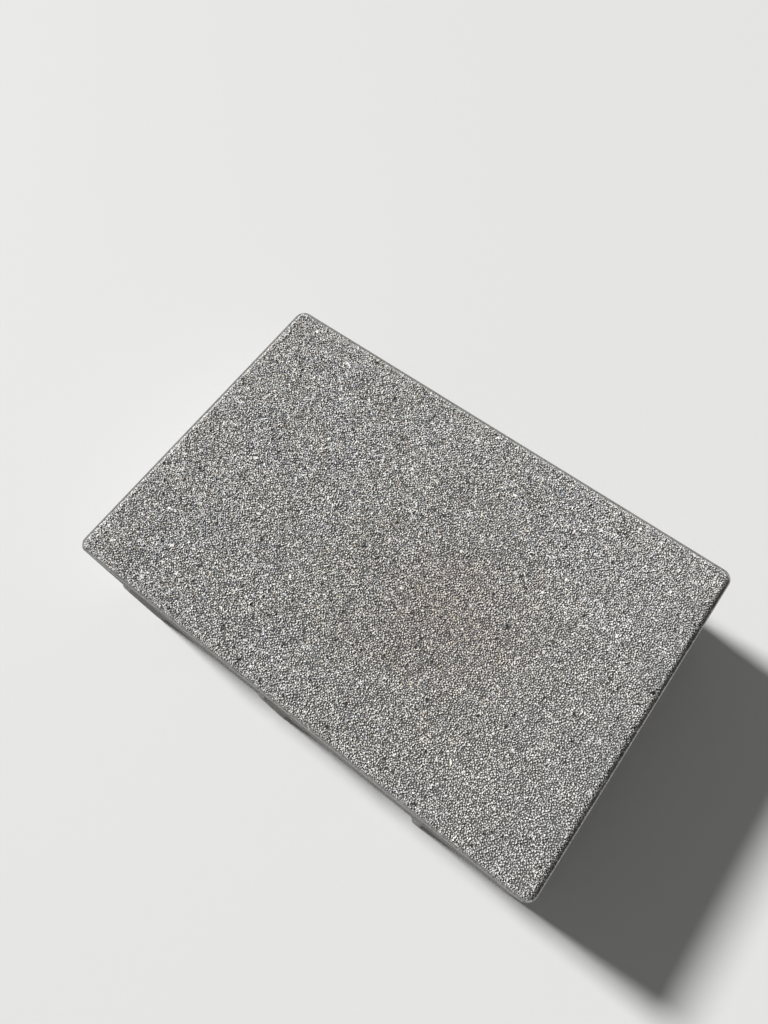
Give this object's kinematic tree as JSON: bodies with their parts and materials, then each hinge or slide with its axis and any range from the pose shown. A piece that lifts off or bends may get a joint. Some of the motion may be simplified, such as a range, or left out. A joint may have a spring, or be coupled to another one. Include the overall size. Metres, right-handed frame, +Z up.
{
  "type": "concrete paving stone",
  "caption": "Rectangular concrete paving stone with rounded corners, a lipped chamfer round its wear face and spacer nibs on its sides.",
  "frame": {"origin": "centre of the bed face, on the ground that the stone lies on", "axes": "+X along the long side, +Y along the short side, +Z up through the wear face"},
  "size_m": [0.301, 0.201, 0.08],
  "materials": {
    "concrete": "matt mid-grey pressed concrete with a fine open grain"
  },
  "bodies": {
    "root": {"paving_stone": "concrete"}
  },
  "joints": []
}
